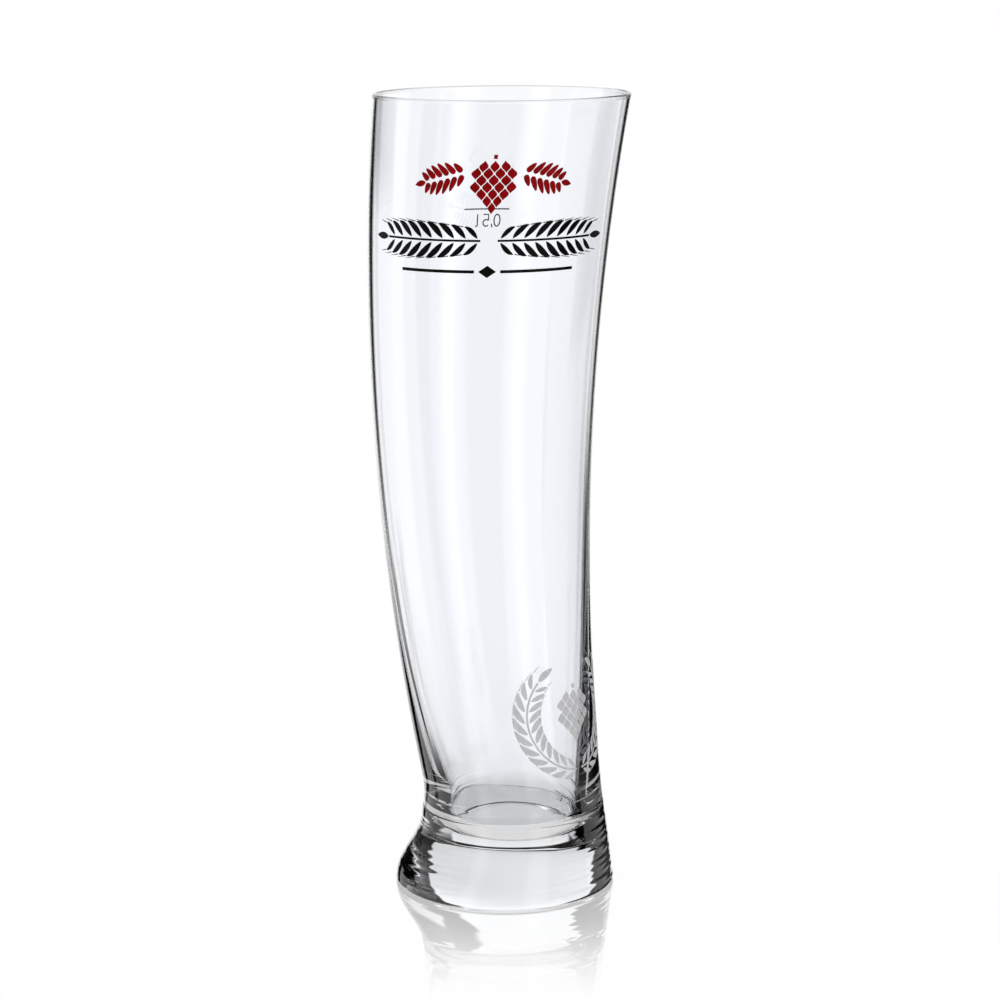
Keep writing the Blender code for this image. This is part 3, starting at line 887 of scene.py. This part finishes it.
class MakeRule(bpy.types.Operator):
    """The ruled line under the ears, with a lozenge in its middle"""

    bl_idname = "beer_glass.make_rule"
    bl_label = "Rule"

    def execute(self, context):
        settings = context.scene.beer_glass
        prints = settings.prints
        height = settings.glass.height - prints.rule_drop
        middle = prints.lozenge_width / 2
        slope = 1 - np.abs(np.linspace(-1, 1, RIBBON_ROWS))
        half_height = prints.lozenge_height / 2 * np.maximum(slope, LOZENGE_POINT)
        lay_print(settings, "rule_lozenge", "black", [strip(-middle, middle, half_height)], FRONT, height)
        start = middle + prints.rule_space
        line = [strip(start, start + prints.rule_length, prints.rule_width / 2)]
        for side, mirror in SIDES:
            lay_print(settings, f"rule_{side}", "black", placed(line, mirror=mirror), FRONT, height)
        return {"FINISHED"}


class MakeWreath(bpy.types.Operator):
    """The frosted wreath of two curled ears round a hop cone"""

    bl_idname = "beer_glass.make_wreath"
    bl_label = "Frosted wreath"

    def execute(self, context):
        settings = context.scene.beer_glass
        prints = settings.prints
        azimuth, height = prints.wreath_azimuth, prints.wreath_height
        ear = barley_ear(prints.wreath_radius * prints.wreath_sweep, prints.wreath_width, WREATH_GRAINS)
        ring = curled(ear, prints.wreath_radius, prints.wreath_start)
        for side, mirror in SIDES:
            lay_print(settings, f"wreath_{side}", "frost", placed(ring, mirror=mirror), azimuth, height)
        cone = hop_cone(prints.wreath_hop_length, prints.wreath_hop_width)
        laid = placed(cone, up=prints.wreath_hop_length / 2, turned=-math.pi / 2)
        lay_print(settings, "wreath_hop", "frost", laid, azimuth, height)
        return {"FINISHED"}


class MakeFillMark(bpy.types.Operator):
    """The level line for half a litre on the back, with its figures"""

    bl_idname = "beer_glass.make_fill_mark"
    bl_label = "Fill mark"

    def execute(self, context):
        settings = context.scene.beer_glass
        prints = settings.prints
        azimuth, height = prints.fill_azimuth, settings.glass.height - prints.fill_drop
        half_length, half_width = prints.fill_length / 2, prints.fill_stroke / 2
        line = strip(-half_length, half_length, half_width)
        lay_print(settings, "fill_line", "black", [line], azimuth, height)
        height -= prints.figure_drop
        for name, path, place, closed in figure_paths(prints):
            stroke = ribbon(path, np.full(len(path), half_width))[None] + (place * prints.figure_pitch, 0.0)
            lay_print(settings, f"fill_{name}", "black", [stroke], azimuth, height, closed)
        return {"FINISHED"}


def figure_paths(prints):
    """Middle lines of the figures for half a litre, with each one's place in pitches and if it is a ring.

    The zero is an ellipse, the five a flag and a neck over most of a smaller one, the rest straight lines.
    """
    wide, tall = prints.figure_width / 2, prints.figure_height / 2
    around = np.arange(ZERO_STEPS) * TURN / ZERO_STEPS
    zero = np.stack((wide * np.cos(around), tall * np.sin(around)), axis=-1)
    bowl = FIVE_BOWL * tall
    sweep = np.radians(np.linspace(*FIVE_SWEEP, FIVE_STEPS))
    loop = np.stack((wide * np.cos(sweep), bowl - tall + bowl * np.sin(sweep)), axis=-1)
    flag = ((wide, tall), (-FIVE_TOP * wide, tall), (-FIVE_NECK[0] * wide, FIVE_NECK[1] * tall))
    five = np.concatenate((flag, loop))
    comma = np.linspace((0.0, COMMA_TOP - tall), (-COMMA_LEAN, COMMA_TOP - COMMA_LENGTH - tall), 3)
    turn_width, foot_width = LITRE_HOOK[0] * wide, LITRE_HOOK[1] * wide
    litre = np.array(((0.0, tall), (0.0, turn_width - tall), (turn_width, -tall), (foot_width, -tall)))
    return (
        ("zero", zero, ZERO_PLACE, True),
        ("comma", comma, COMMA_PLACE, False),
        ("five", five, FIVE_PLACE, False),
        ("litre", litre, LITRE_PLACE, False),
    )


class MakeStage(bpy.types.Operator):
    """The pale floor, the white surroundings, two softboxes and the camera"""

    bl_idname = "beer_glass.make_stage"
    bl_label = "Stage"

    def execute(self, context):
        stage = context.scene.beer_glass.stage
        make_floor(stage)
        make_world(context.scene, stage)
        make_softboxes(stage)
        make_camera(context.scene, stage)
        context.scene.view_settings.view_transform = "Standard"
        return {"FINISHED"}


def make_floor(stage):
    """A level disc just under the foot: rings round its middle, run backwards so that its faces look up."""
    angle = -np.arange(SEGMENTS) * TURN / SEGMENTS
    radius = stage.floor_radius * np.linspace(0, 1, FLOOR_RINGS)[1:, None] ** 2
    points = np.full((1 + radius.size * SEGMENTS, 3), (0.0, 0.0, -FLOOR_GAP))
    points[1:, 0] = (radius * np.sin(angle)).ravel()
    points[1:, 1] = (-radius * np.cos(angle)).ravel()
    # A disc has no second pole, so the fan there is left out
    faces = turned_faces(radius.size)[:-SEGMENTS]
    floor = new_object("floor", points, faces, floor_material(stage))
    floor.visible_glossy = False


def floor_material(stage):
    """White floor: the glass's shadow and a fading mirror image near the foot, and plain white far out.

    Through the glass, only what lies at and under the foot shows.
    """
    made = bpy.data.materials.new("white_floor")
    made.use_nodes = True
    tree = made.node_tree
    tree.nodes.remove(tree.nodes["Principled BSDF"])
    place = add_node(tree, "ShaderNodeTexCoord").outputs["Object"]
    away = add_node(tree, "ShaderNodeVectorMath", {"operation": "LENGTH"}, Vector=place).outputs["Value"]
    matt = add_node(tree, "ShaderNodeBsdfDiffuse", Color=FLOOR_COLOUR)
    white = add_node(tree, "ShaderNodeEmission", Color=WHITE, Strength=1.0)
    mirror = add_node(tree, "ShaderNodeBsdfGlossy", Color=WHITE, Roughness=MIRROR_ROUGHNESS)
    outer = smooth_range(tree, away, FLOOR_NEAR, FLOOR_FAR)
    ground = mix_shaders(tree, matt, white, blend(tree, stage.floor_light, 1.0, outer))
    near = math_node(tree, "SUBTRACT", 1.0, smooth_range(tree, away, FLOOR_NEAR, stage.sheen_radius))
    shine = mix_shaders(tree, ground, mirror, product(tree, near, stage.sheen))
    through = seen_under_glass(tree, stage, place, away)
    path = add_node(tree, "ShaderNodeLightPath")
    seen = mix_shaders(tree, shine, through, path.outputs["Is Transmission Ray"])
    tree.links.new(seen.outputs[0], tree.nodes["Material Output"].inputs["Surface"])
    return made


def seen_under_glass(tree, stage, place, away):
    """The floor to rays through the glass: a glowing patch under the foot, painted light that stands for the
    lit table there, with painted shade behind and beside it.

    The patch is painted lighter in front. Painted shade lies round its back, thicker on the right, and more
    starts beside it on each side, along a line that runs outwards to the back. Elsewhere such rays pass the
    floor.
    """
    parts = add_node(tree, "ShaderNodeSeparateXYZ", Vector=place).outputs
    edge = PATCH_RADIUS * PATCH_EDGE
    inside = smooth_range(tree, away, PATCH_RADIUS + edge, PATCH_RADIUS)
    # Painted shade: a dark ring round the patch's back, drawn towards +X so that it is thicker on the right
    apart = add_node(tree, "ShaderNodeVectorMath", {"operation": "DISTANCE"}, Vector=place)
    apart.inputs[1].default_value = (SHADE_SHIFT, 0.0, 0.0)
    shade = smooth_range(tree, apart.outputs["Value"], SHADE_RADIUS + edge, SHADE_RADIUS)
    # Painted shade beside the patch on each side, along a line that runs outwards to the back
    across = math_node(tree, "ABSOLUTE", parts["X"])
    aside = math_node(tree, "MULTIPLY_ADD", parts["Y"], -SIDE_SHADE_SLOPE, across)
    flag = smooth_range(tree, aside, SIDE_SHADE_START, SIDE_SHADE_START + SIDE_SHADE_EDGES * edge)
    flag = product(tree, flag, smooth_range(tree, away, SIDE_SHADE_REACH, SIDE_SHADE_FADE * SIDE_SHADE_REACH))
    behind = smooth_range(tree, parts["Y"], -BACK_EDGES * edge, 0.0)
    dark = product(tree, math_node(tree, "MAXIMUM", shade, flag), behind)
    # Painted light: the patch glows, lighter in front than at its back
    level = blend(tree, stage.contact_front, stage.contact_level, behind)
    patch = add_node(tree, "ShaderNodeEmission", Color=PATCH_COLOUR, Strength=product(tree, level, inside))
    clear = add_node(tree, "ShaderNodeBsdfTransparent")
    return mix_shaders(tree, clear, patch, math_node(tree, "MAXIMUM", inside, dark))


def panel(tree, azimuth, centre, half_width, edge=PANEL_EDGE):
    """1 on a panel round a centre and 0 beside it; the half width is a socket or a number."""
    aside = math_node(tree, "SUBTRACT", azimuth, centre)
    aside = math_node(tree, "ABSOLUTE", math_node(tree, "WRAP", aside, math.pi, -math.pi))
    past = math_node(tree, "SUBTRACT", aside, half_width)
    return smooth_range(tree, past, edge, -edge)


def under(tree, rise, top):
    """1 under an elevation and 0 over it."""
    return smooth_range(tree, rise, top + PANEL_EDGE, top - PANEL_EDGE)


def white_panels(tree, azimuth, rise):
    """1 on the white panels round the glass and 0 between them.

    A panel is an hourglass: its half width grows on both sides of its waist. One stands behind the glass for
    each side from which it is looked at, and the one behind its front view closes again above its peak. Low
    plain panels stand beside that one.
    """
    below = math_node(tree, "MAXIMUM", math_node(tree, "SUBTRACT", PANEL_WAIST, rise), 0.0)
    above = math_node(tree, "MAXIMUM", math_node(tree, "SUBTRACT", rise, PANEL_WAIST), 0.0)
    spread = math_node(tree, "MULTIPLY_ADD", below, PANEL_FALL, PANEL_HALF_WIDTH)
    behind = math_node(tree, "MULTIPLY_ADD", above, PANEL_CLIMB, spread)
    widest = PANEL_HALF_WIDTH + PANEL_CLIMB * (PANEL_PEAK - PANEL_WAIST)
    crest = widest + PANEL_CLOSE * PANEL_PEAK
    closing = math_node(tree, "MULTIPLY_ADD", rise, -PANEL_CLOSE, crest)
    behind = math_node(tree, "MINIMUM", behind, math_node(tree, "MAXIMUM", closing, PANEL_TOP))
    white = panel(tree, azimuth, PANEL_TURN, behind)
    beside = math_node(tree, "MULTIPLY_ADD", above, SIDE_CLIMB, spread)
    others = []
    for centre, top in np.radians(SIDE_PANELS).tolist():
        others.append(product(tree, panel(tree, azimuth, centre, beside), under(tree, rise, top)))
    for *place, level in LOW_PANELS:
        centre, half_width, low, high = np.radians(place).tolist()
        plain = panel(tree, azimuth, centre, half_width)
        over = smooth_range(tree, rise, low - PANEL_EDGE, low + PANEL_EDGE)
        others.append(product(tree, plain, over, under(tree, rise, high), level))
    for other in others:
        white = math_node(tree, "MAXIMUM", white, other)
    return white


def dark_between(tree, stage, azimuth, rise):
    """Level between the panels: dark, with a plain front, the softboxes' strips, the table and the roof."""
    facing = math_node(tree, "COSINE", math_node(tree, "SUBTRACT", azimuth, FRONT_TURN))
    ends = (math.cos(FRONT_HALF_WIDTH + side * FRONT_EDGE) for side in (1, -1))
    dark = blend(tree, stage.between, stage.front_level, smooth_range(tree, facing, *ends))
    for _, place, width in SOFTBOXES:
        half_width = math.atan(width / 2 / SOFTBOX_DISTANCE)
        strip_light = panel(tree, azimuth, math.pi - math.radians(place), half_width, SOFTBOX_EDGE)
        dark = blend(tree, dark, stage.softbox_level, strip_light)
    dark = blend(tree, stage.table_level, dark, smooth_range(tree, rise, *TABLE_IN_DARK))
    return blend(tree, dark, stage.roof_level, smooth_range(tree, rise, *ROOF_IN_DARK))


def seen_by_glass(tree, stage, azimuth, rise):
    """What sharp rays meet: white panels with dark between them, which fade into the table and the roof."""
    low_white = smooth_range(tree, rise, *TABLE_IN_WHITE)
    bright = blend(tree, stage.table_level, stage.panel_level, low_white)
    high_white = smooth_range(tree, rise, *ROOF_IN_WHITE)
    bright = blend(tree, bright, stage.roof_level, high_white)
    dark = dark_between(tree, stage, azimuth, rise)
    return blend(tree, dark, bright, white_panels(tree, azimuth, rise))


def make_world(scene, stage):
    """White to the camera and the floor's blurred mirror, plain light to matt surfaces, panels to glass."""
    world = bpy.data.worlds.new("studio")
    world.use_nodes = True
    scene.world = world
    tree = world.node_tree
    place = add_node(tree, "ShaderNodeTexCoord").outputs["Generated"]
    parts = add_node(tree, "ShaderNodeSeparateXYZ", Vector=place).outputs
    azimuth = math_node(tree, "ARCTAN2", parts["X"], parts["Y"])
    rise = math_node(tree, "ARCSINE", parts["Z"])
    overhead = smooth_range(tree, rise, SIDE_LIGHT_END, TOP_LIGHT_START)
    plain = blend(tree, stage.side_light, stage.top_light, overhead)
    path = add_node(tree, "ShaderNodeLightPath").outputs
    sharp = math_node(tree, "MAXIMUM", path["Is Glossy Ray"], path["Is Transmission Ray"])
    rough = math_node(tree, "SUBTRACT", path["Is Glossy Ray"], path["Is Singular Ray"])
    over_floor = smooth_range(tree, rise, 0.0, HORIZON_EDGE)
    mirrored = product(tree, math_node(tree, "MAXIMUM", rough, 0.0), over_floor)
    seen = blend(tree, seen_by_glass(tree, stage, azimuth, rise), 1.0, mirrored)
    level = blend(tree, blend(tree, plain, seen, sharp), 1.0, path["Is Camera Ray"])
    background = tree.nodes["Background"]
    background.inputs["Color"].default_value = WHITE
    tree.links.new(level, background.inputs["Strength"])


def make_softboxes(stage):
    """Two tall soft lamps in front, one on each side of the camera; the world holds their reflections."""
    for name, azimuth, width in SOFTBOXES:
        lamp = bpy.data.lights.new(f"softbox_{name}", "AREA")
        lamp.shape = "RECTANGLE"
        lamp.size = width
        lamp.size_y = SOFTBOX_LENGTH
        lamp.energy = stage.softbox_level * math.pi * lamp.size * lamp.size_y
        box = bpy.data.objects.new(f"softbox_{name}", lamp)
        angle = math.radians(azimuth)
        aside, ahead = SOFTBOX_DISTANCE * math.sin(angle), SOFTBOX_DISTANCE * math.cos(angle)
        box.location = (aside, -ahead, SOFTBOX_HEIGHT)
        box.rotation_euler = (Vector(SOFTBOX_AIM) - box.location).to_track_quat("-Z", "Y").to_euler()
        box.visible_camera = False
        box.visible_glossy = False
        box.visible_transmission = False
        bpy.context.scene.collection.objects.link(box)


def make_camera(scene, stage):
    """Looks along +Y, tilted down by the pitch and rolled so that the picture turns to the left."""
    data = bpy.data.cameras.new("camera")
    data.lens = stage.camera_lens
    data.sensor_width = SENSOR_WIDTH
    camera = bpy.data.objects.new("camera", data)
    pitch = Matrix.Rotation(math.pi / 2 - stage.camera_pitch, 4, "X")
    roll = Matrix.Rotation(-stage.camera_roll, 4, "Z")
    camera.matrix_world = Matrix.Translation(stage.camera_place) @ pitch @ roll
    scene.collection.objects.link(camera)
    scene.camera = camera


class BeerGlass(bpy.types.PropertyGroup):
    """All settings of the glass."""

    glass: PointerProperty(type=GlassSizes)
    prints: PointerProperty(type=PrintSizes)
    finishes: PointerProperty(type=Finishes)
    stage: PointerProperty(type=StageSettings)


MAKERS = (MakeGlass, MakeHopPrint, MakeBarleyPrint, MakeRule, MakeWreath, MakeFillMark, MakeStage)


class BeerGlassPanel(bpy.types.Panel):
    """Lists the makers and the settings of the glass"""

    bl_idname = "VIEW3D_PT_beer_glass"
    bl_label = "Beer glass"
    bl_space_type = "VIEW_3D"
    bl_region_type = "UI"
    bl_category = "Beer glass"

    def draw(self, context):
        for maker in MAKERS:
            self.layout.operator(maker.bl_idname)
        settings = context.scene.beer_glass
        for group in (settings.glass, settings.prints, settings.finishes, settings.stage):
            box = self.layout.box()
            for name in group.__annotations__:
                box.prop(group, name)


CLASSES = (GlassSizes, PrintSizes, Finishes, StageSettings, BeerGlass, *MAKERS, BeerGlassPanel)


def register():
    for made in CLASSES:
        bpy.utils.register_class(made)
    bpy.types.Scene.beer_glass = PointerProperty(type=BeerGlass)


def unregister():
    del bpy.types.Scene.beer_glass
    for made in reversed(CLASSES):
        bpy.utils.unregister_class(made)


def main():
    register()
    bpy.ops.beer_glass.make_glass()
    bpy.ops.beer_glass.make_hop_print()
    bpy.ops.beer_glass.make_barley_print()
    bpy.ops.beer_glass.make_rule()
    bpy.ops.beer_glass.make_wreath()
    bpy.ops.beer_glass.make_fill_mark()
    bpy.ops.beer_glass.make_stage()


if __name__ == "__main__":
    main()
